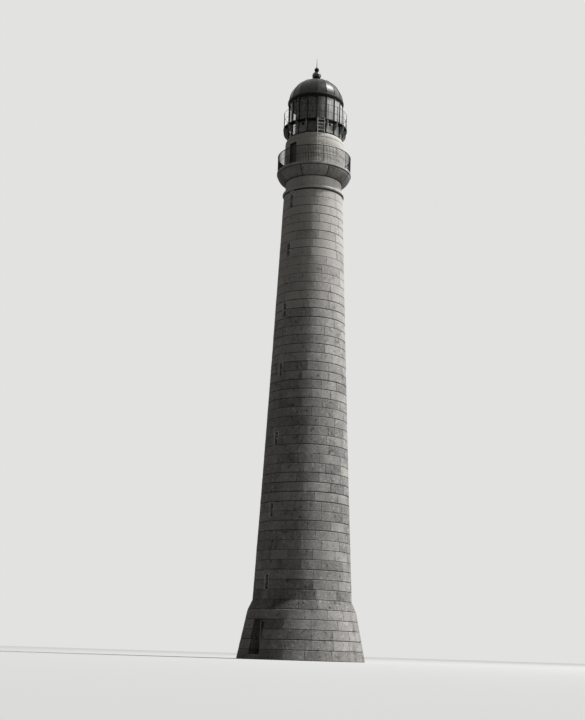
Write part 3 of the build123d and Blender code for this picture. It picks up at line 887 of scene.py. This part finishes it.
class LIGHTHOUSE_OT_catwalk(bpy.types.Operator):
    """Makes the catwalk: plated deck, curved brackets and a light railing"""
    bl_idname = "lighthouse.catwalk"
    bl_label = "Catwalk"

    def execute(self, context):
        settings = chosen("iron")
        bm = bmesh.new()
        inner, outer = LANTERN_RADIUS + real(16), reach("catwalk_deck", CATWALK)
        rim = outer - real(18)
        step = real(8)
        turned(bm, [(inner, CATWALK + step), (rim, CATWALK + step), (rim, CATWALK), (outer, CATWALK),
                    (outer, CATWALK_TOP), (rim, CATWALK_TOP), (rim, CATWALK_TOP - step),
                    (inner, CATWALK_TOP - step)], 108)
        for number in range(SIDES * 3):
            knob(bm, polar(BAY * number / 3, outer - real(3.6), (CATWALK + CATWALK_TOP) / 2), real(12))
        finish_piece(bm, "catwalk_plates", "iron", ["catwalk_deck"])

        bm = bmesh.new()
        drop = CATWALK - low("catwalk_brackets")
        span = reach("catwalk_brackets", CATWALK) - LANTERN_RADIUS
        elbow = (LANTERN_RADIUS + 0.86 * span, CATWALK - 0.5 * drop)
        edge = arc_outline((LANTERN_RADIUS, CATWALK - drop), elbow, (LANTERN_RADIUS + span, CATWALK), 12)
        web = real(12)
        for number in range(SIDES):
            bearing = BAY * (number + 0.5)
            across = sideways(bearing)
            outline = [polar(bearing, radius, height) for radius, height in edge]
            corner = polar(bearing, LANTERN_RADIUS, CATWALK)
            plate = bm.faces.new([bm.verts.new(point - across * web / 2) for point in outline + [corner]])
            moved = bmesh.ops.extrude_face_region(bm, geom=[plate])["geom"]
            bmesh.ops.translate(bm, vec=across * web, verts=corners_in(moved))
            flange, _ = ribbon(bm, outline, across, real(46))
            bmesh.ops.solidify(bm, geom=flange, thickness=real(10))
        finish_piece(bm, "catwalk_consoles", "lead", ["catwalk_brackets"])

        bm = bmesh.new()
        radius = real(2200)
        height = high("catwalk_railing") - CATWALK_TOP
        bearings = [BAY * (number + 0.5) for number in range(SIDES)]
        railing_posts(bm, radius, CATWALK_TOP, height, bearings, settings.post_radius * 0.8)
        hoop(bm, radius, CATWALK_TOP + height - settings.post_radius, settings.rail_radius * 0.5, 108)
        hoop(bm, radius, CATWALK_TOP + height / 2, settings.rail_radius * 0.4, 108)
        finish_piece(bm, "catwalk_rails", "iron", ["catwalk_railing"])
        return {"FINISHED"}


class LIGHTHOUSE_OT_ladder(bpy.types.Operator):
    """Makes the white ladder from the gallery to the catwalk"""
    bl_idname = "lighthouse.ladder"
    bl_label = "Ladder"

    def execute(self, context):
        bearing = radians(57)
        radius, width, spacing = real(2300), real(480), real(250)
        foot, head = low("ladder"), high("ladder")
        middle = (foot + head) / 2
        half = sideways(bearing) * width / 2
        bm = bmesh.new()
        for stile in (-half, half):
            block(bm, polar(bearing, radius, middle) + stile, (real(30), real(68), head - foot), bearing,
                  edge=real(6))
            top = polar(bearing, radius, head - real(40)) + stile
            bar(bm, top, top - polar(bearing, real(110), 0), real(12))
        rungs = int((head - foot) / spacing)
        for number in range(rungs):
            rung = polar(bearing, radius, middle + (number - (rungs - 1) / 2) * spacing)
            bar(bm, rung - half, rung + half, real(18))
        finish_piece(bm, "ladder_irons", "white", ["ladder"])
        return {"FINISHED"}


# Lantern

class LIGHTHOUSE_OT_lantern_frame(bpy.types.Operator):
    """Makes the eighteen-sided lantern frame with its sill, bars and bolted feet"""
    bl_idname = "lighthouse.lantern_frame"
    bl_label = "Lantern frame"

    def execute(self, context):
        bm = bmesh.new()
        depth, width = real(90), real(70)
        post_line, rail_line = LANTERN_RADIUS - depth / 2, APOTHEM - depth / 2
        span = 2 * rail_line * tan(BAY / 2) - width * 0.9
        foot, head = LANTERN_FOOT, GUTTER_FOOT
        middle, height = (foot + head) / 2, head - foot
        # Post, glazing bar on its face and bolted foot: distance outwards, height, size and bevel
        uprights = ((0.0, middle, (width, depth, height), 7),
                    (0.5, middle, (width * 0.4, depth * 0.16, height), 3),
                    (0.1, foot + real(45), (width * 1.7, depth * 1.1, real(90)), 8))
        rails = ((foot, foot + real(110)), (CATWALK, CATWALK + real(60)), (head - real(60), head))
        # Beads run along the foot and the head of each pane
        panes = ((rails[0][1], rails[1][0]), (rails[1][1], rails[2][0]))
        beads = [end for pane_foot, pane_head in panes for end in (pane_foot + real(9), pane_head - real(9))]
        for number in range(SIDES):
            corner, face = BAY * (number + 0.5), BAY * number
            for out, level, size, edge in uprights:
                block(bm, polar(corner, post_line + depth * out, level), size, corner, edge=real(edge))
            for low_end, high_end in rails:
                block(bm, polar(face, rail_line, (low_end + high_end) / 2),
                      (span, depth * 0.7, high_end - low_end), face, edge=real(6))
            for level in beads:
                block(bm, polar(face, rail_line + real(14), level), (span, real(22), real(18)), face,
                      edge=real(4))
        finish_piece(bm, "lantern_bars", "iron", ["lantern_frame"])
        return {"FINISHED"}


class LIGHTHOUSE_OT_vent_panels(bpy.types.Operator):
    """Makes the low iron panels, each with a round register"""
    bl_idname = "lighthouse.vent_panels"
    bl_label = "Vent panels"

    def execute(self, context):
        line = APOTHEM - real(45)
        foot, head = low("lantern_vent_panels"), high("lantern_vent_panels")
        size = (2 * line * tan(BAY / 2) - real(70), real(14), head - foot)
        # Painted light and shade: the panels on the sunlit side are painted white and the others a darker
        # lead grey
        coats = (("vent_plates", (4, 7), "white", ["lantern_vent_panels"]),
                 ("shade_side_vent_plates", (1, 10, 13, 16), "lead", []))
        for name, numbers, paint, nodes in coats:
            bm = bmesh.new()
            for number in numbers:
                block(bm, polar(BAY * number, line, (foot + head) / 2), size, BAY * number, edge=real(3))
            finish_piece(bm, name, paint, nodes)

        bm = bmesh.new()
        spokes = 6
        for number in range(1, SIDES, 3):
            out = Matrix.Translation(polar(BAY * number, line + real(10), head - real(155)))
            out = out @ Matrix.Rotation(BAY * number, 4, "Z") @ Matrix.Rotation(pi / 2, 4, "X")
            # The disc and the knob in its middle: sides, radii and depth
            for sides, base, top, depth in ((24, 106, 100, 16), (16, 30, 22, 34)):
                bmesh.ops.create_cone(bm, cap_ends=True, segments=sides, radius1=real(base),
                                      radius2=real(top), depth=real(depth), matrix=out)
            for spoke in range(spokes):
                turn = Matrix.Rotation(2 * pi * spoke / spokes, 4, "Z")
                turn = turn @ Matrix.Translation((0, real(63), real(9)))
                bmesh.ops.create_cube(bm, size=1.0, matrix=out @ turn @ Matrix.Diagonal(
                    (real(26), real(48), real(8), 1.0)))
        finish_piece(bm, "vent_registers", "iron")
        return {"FINISHED"}


class LIGHTHOUSE_OT_day_curtain(bpy.types.Operator):
    """Hangs the pleated day curtain round the light, on its hoop"""
    bl_idname = "lighthouse.day_curtain"
    bl_label = "Day curtain"

    def execute(self, context):
        foot, head = low("day_curtain") + real(20), high("day_curtain")
        radius = widest("day_curtain") - real(22)
        pleats, columns, rows = 64, 512, 8
        draw = random.Random(3)
        sway = [draw.uniform(0.65, 1.0) for _ in range(pleats)]

        def fold(part, up):
            """Radius of the cloth part of the way round, with looser pleats towards the hem."""
            turn = part * pleats
            depth = sway[int(turn) % pleats] * (1 - turn % 1) + sway[(int(turn) + 1) % pleats] * (turn % 1)
            return radius + depth * (real(14) + real(16) * (1 - up)) * cos(2 * pi * turn)

        bm = bmesh.new()
        for corner in bmesh.ops.create_grid(bm, x_segments=columns, y_segments=rows, size=0.5)["verts"]:
            part, up = (corner.co.x + 0.5) % 1.0, corner.co.y + 0.5
            corner.co = polar(2 * pi * part, fold(part, up), foot + (head - foot) * up)
        piece = finish_piece(bm, "linen_curtain", "linen", ["day_curtain"], crease=80)

        bm = bmesh.new()
        level = (low("curtain_hoop") + high("curtain_hoop")) / 2
        thick = high("curtain_hoop") - low("curtain_hoop")
        arm_end = real(1780)
        hoop(bm, radius + real(16), level, thick * 0.45, 72)
        for bearing in [radians(95 + 60 * number) for number in range(6)]:
            bar(bm, polar(bearing, radius, level), polar(bearing, arm_end, level), thick * 0.4)
        finish_piece(bm, "curtain_irons", "iron", ["curtain_hoop"])
        return {"FINISHED"}


class LIGHTHOUSE_OT_roof(bpy.types.Operator):
    """Makes the gutter, the sheet-metal gores with their standing seams, and the vent ball"""
    bl_idname = "lighthouse.roof"
    bl_label = "Roof"

    def execute(self, context):
        bm = bmesh.new()
        inner, outer = APOTHEM - real(90), widest("lantern_gutter")
        rise = DOME_FOOT - GUTTER_FOOT
        profile = [(inner, GUTTER_FOOT), (LANTERN_RADIUS, GUTTER_FOOT)]
        cove = (outer - real(8), GUTTER_FOOT + 0.35 * rise)
        profile += arc_outline((LANTERN_RADIUS + real(8), GUTTER_FOOT + real(30)), cove,
                               (outer, GUTTER_FOOT + 0.6 * rise), 5)
        profile += [(outer, DOME_FOOT - real(30)), (outer - real(14), DOME_FOOT - real(12)),
                    (outer - real(40), DOME_FOOT), (inner, DOME_FOOT)]
        turned(bm, profile, 108)
        finish_piece(bm, "gutter_moulding", "iron", ["lantern_gutter"])

        bm = bmesh.new()
        rows = 20
        haunch = (DOME_RADIUS * sqrt(0.5), DOME_FOOT + (CROWN - DOME_FOOT) * sqrt(0.5))
        outline = arc_outline((DOME_RADIUS, DOME_FOOT), haunch, (CROWN_RADIUS, CROWN), rows)
        for number in range(SIDES):
            face = BAY * number
            for corner in bmesh.ops.create_grid(bm, x_segments=4, y_segments=rows, size=0.5)["verts"]:
                across = corner.co.x * 2
                radius, level = outline[round((corner.co.y + 0.5) * rows)]
                bulge = real(7) * (1 - across**2) * min(1.0, radius / DOME_RADIUS)
                middle = polar(face, radius * cos(BAY / 2) + bulge, level + bulge * 0.4)
                corner.co = middle + sideways(face) * radius * sin(BAY / 2) * across
        bmesh.ops.remove_doubles(bm, verts=bm.verts, dist=0.0004)
        bmesh.ops.recalc_face_normals(bm, faces=bm.faces)
        bmesh.ops.solidify(bm, geom=list(bm.faces), thickness=real(14))
        finish_piece(bm, "dome_sheets", "roof", ["dome"], crease=8)

        bm = bmesh.new()
        # A seam stands up over the joint of two gores, and its foot is let into the sheets
        seam, stand, let_in = real(26), real(18), real(12)
        for number in range(SIDES):
            bearing = BAY * (number + 0.5)
            points = [polar(bearing, radius, level) for radius, level in outline]
            faces, sunk = ribbon(bm, points, sideways(bearing), seam)
            raised = corners_in(bmesh.ops.extrude_face_region(bm, geom=faces)["geom"])
            for corners, rise in ((raised, stand), (sunk, -let_in)):
                for corner in corners:
                    outwards = Vector((corner.co.x, corner.co.y, corner.co.z - DOME_FOOT)).normalized()
                    corner.co += outwards * rise
        finish_piece(bm, "dome_seams", "roof", crease=40)

        bm = bmesh.new()
        ball_top, ball_radius = high("ventilator_ball"), widest("ventilator_ball")
        neck, seat = real(150), real(60)
        centre = ball_top - sqrt(ball_radius**2 - seat**2)
        profile = [(0.0, low("ventilator_ball")), (CROWN_RADIUS, low("ventilator_ball"))]
        lip = CROWN_RADIUS + real(20)
        profile += [(lip, CROWN), (lip, CROWN + real(40)), (CROWN_RADIUS, CROWN + real(70)),
                    (real(190), CROWN + real(110)), (neck, CROWN + real(150))]
        profile += arc_outline((neck, centre - sqrt(ball_radius**2 - neck**2)), (ball_radius, centre),
                               (seat, ball_top), 18)
        turned(bm, profile + [(0.0, ball_top)], 36, closed=False)
        hoop(bm, ball_radius, centre, real(10), 36)
        finish_piece(bm, "vent_ball", "gloss", ["ventilator_ball"])

        bm = bmesh.new()
        tip, bud_top = high("lightning_spike"), ball_top + real(320)
        profile = [(0.0, ball_top - real(4)), (seat, ball_top - real(4))]
        bud = (real(165), (ball_top + bud_top) / 2)
        profile += arc_outline((seat, ball_top), bud, (real(28), bud_top), 12)
        turned(bm, profile + [(real(7), tip), (0.0, tip)], 24, closed=False)
        hoop(bm, real(70), ball_top + real(8), real(16), 24)
        hoop(bm, real(34), bud_top + real(10), real(16), 24)
        finish_piece(bm, "finial_spike", "iron", ["lightning_spike"])
        return {"FINISHED"}


# Frame finishes, stage, camera and lamps

class LIGHTHOUSE_OT_frame_finishes(bpy.types.Operator):
    """Gives each CAD node that stays in view its material"""
    bl_idname = "lighthouse.frame_finishes"
    bl_label = "Frame finishes"

    def execute(self, context):
        finishes = {"glass": "glass", "iron": "iron", "granite": "mortar", "roof_metal": "roof",
                    "white_paint": "white", "door_wood": "boards", "linen": "linen"}
        for entry in frame["record"]["subparts"]:
            materials = frame["nodes"][entry["node"]].data.materials
            materials.clear()
            materials.append(material_of(finishes[entry["material_slot"]]))
        return {"FINISHED"}


class LIGHTHOUSE_OT_stage(bpy.types.Operator):
    """Sets the floor, the pale background, the lamps and the camera"""
    bl_idname = "lighthouse.stage"
    bl_label = "Stage"

    def execute(self, context):
        settings = chosen("stage")
        scene = context.scene
        bm = bmesh.new()
        bmesh.ops.create_circle(bm, cap_ends=True, segments=96, radius=real(400000))
        mesh = bpy.data.meshes.new("studio_floor")
        bm.to_mesh(mesh)
        bm.free()
        mesh.materials.append(self.floor_material())
        add_object("studio_floor", mesh)
        self.light_the_sky(scene, settings.fill_strength)

        sun = bpy.data.lights.new("key_sun", "SUN")
        sun.energy = settings.sun_strength
        # Thin cloud widens the sun, so that its shadows are soft
        sun.angle = radians(6)
        towards = polar(settings.sun_bearing, cos(settings.sun_height), sin(settings.sun_height))
        lamp = add_object("key_sun", sun)
        lamp.rotation_euler = towards.to_track_quat("Z", "Y").to_euler()
        lamp.location = towards * real(60000)

        # Power, size, bearing from the key light, level distance, height, and height of the point it aims at
        lamps = {"soft_box": (settings.softbox_power, (64000, 32000), -9, 88000, 50000, 26000),
                 "rim_box": (settings.rim_power, (83000, 57000), 20, 69000, 108000, 38000)}
        for name, (power, size, turn, distance, height, aim) in lamps.items():
            panel = bpy.data.lights.new(name, "AREA")
            panel.shape = "RECTANGLE"
            panel.size, panel.size_y = real(size[0]), real(size[1])
            panel.energy = power
            lamp = add_object(name, panel)
            lamp.location = polar(settings.sun_bearing + radians(turn), real(distance), real(height))
            back = lamp.location - Vector((0, 0, real(aim)))
            lamp.rotation_euler = back.to_track_quat("Z", "Y").to_euler()
            lamp.visible_camera = False

        # The lens in pixels is measured against the photograph's height
        focal_pixels, frame_height, film = 1206, 720, 36.0
        lens = bpy.data.cameras.new("photo_camera")
        lens.sensor_width = film
        lens.sensor_fit = "AUTO"
        lens.lens = focal_pixels * film / frame_height
        lens.clip_end = 1000
        camera = add_object("photo_camera", lens)
        pitch, aside, roll = radians(13.68), radians(0.793), radians(1.78)
        place = polar(settings.camera_bearing, settings.camera_distance, settings.camera_height)
        turn = Matrix.Rotation(settings.camera_bearing + aside, 4, "Z")
        turn = turn @ Matrix.Rotation(pi / 2 + pitch, 4, "X") @ Matrix.Rotation(roll, 4, "Z")
        camera.matrix_world = Matrix.Translation(place) @ turn
        scene.camera = camera
        scene.view_settings.view_transform = "Standard"
        return {"FINISHED"}

    def floor_material(self):
        """Matt pale studio floor: pale where it is seen, darker to the light that it throws back up."""
        material, add, _ = new_material("studio_floor")
        seen = add("LightPath").outputs["Is Camera Ray"]
        pale = add("BsdfDiffuse", {"Color": linear("cbcbc9")})
        dull = add("BsdfDiffuse", {"Color": linear("585856")})
        mix = add("MixShader", {0: seen, 1: dull, 2: pale})
        add("OutputMaterial", {"Surface": mix})
        return material

    def light_the_sky(self, scene, fill_strength):
        """Pale sky where it is seen or mirrored, and an even, weak light from all round."""
        scene.world = bpy.data.worlds.new("studio_world")
        scene.world.use_nodes = True
        scene.world.node_tree.nodes.clear()
        add = partial(add_node, scene.world.node_tree)
        rays = add("LightPath").outputs
        seen = rays["Is Camera Ray"]
        for ray in ("Is Glossy Ray", "Is Transmission Ray"):
            seen = add("Math", {0: seen, 1: rays[ray]}, operation="MAXIMUM")
        fill = add("Background", {"Color": linear("ffffff"), "Strength": fill_strength})
        sky = add("Background", {"Color": linear("e2e2e1"), "Strength": 1.0})
        mix = add("MixShader", {0: seen, 1: fill, 2: sky})
        add("OutputWorld", {"Surface": mix})


class LIGHTHOUSE_PT_pieces(bpy.types.Panel):
    """Lists the operators that make the lighthouse's pieces"""
    bl_idname = "LIGHTHOUSE_PT_pieces"
    bl_label = "Granite lighthouse"
    bl_space_type = "VIEW_3D"
    bl_region_type = "UI"
    bl_category = "Lighthouse"

    def draw(self, context):
        for step in STEPS:
            self.layout.operator(step.bl_idname)


SETTINGS = {"lighthouse_stone": StoneSettings, "lighthouse_iron": IronSettings,
            "lighthouse_stage": StageSettings}
STEPS = (
    LIGHTHOUSE_OT_frame_finishes,
    LIGHTHOUSE_OT_tower_stones,
    LIGHTHOUSE_OT_head_stones,
    LIGHTHOUSE_OT_watch_room_stones,
    LIGHTHOUSE_OT_windows,
    LIGHTHOUSE_OT_entrance,
    LIGHTHOUSE_OT_gallery_door,
    LIGHTHOUSE_OT_gallery_railing,
    LIGHTHOUSE_OT_catwalk,
    LIGHTHOUSE_OT_ladder,
    LIGHTHOUSE_OT_lantern_frame,
    LIGHTHOUSE_OT_vent_panels,
    LIGHTHOUSE_OT_day_curtain,
    LIGHTHOUSE_OT_roof,
    LIGHTHOUSE_OT_stage,
)


def register():
    for name, group in SETTINGS.items():
        bpy.utils.register_class(group)
        setattr(bpy.types.Scene, name, bpy.props.PointerProperty(type=group))
    for step in STEPS + (LIGHTHOUSE_PT_pieces,):
        bpy.utils.register_class(step)


def unregister():
    for step in (LIGHTHOUSE_PT_pieces,) + STEPS[::-1]:
        bpy.utils.unregister_class(step)
    for name, group in SETTINGS.items():
        delattr(bpy.types.Scene, name)
        bpy.utils.unregister_class(group)


def main():
    """Registers the add-on and makes every piece in order."""
    register()
    for step in STEPS:
        group, name = step.bl_idname.split(".")
        getattr(getattr(bpy.ops, group), name)()


if __name__ == "__main__":
    main()
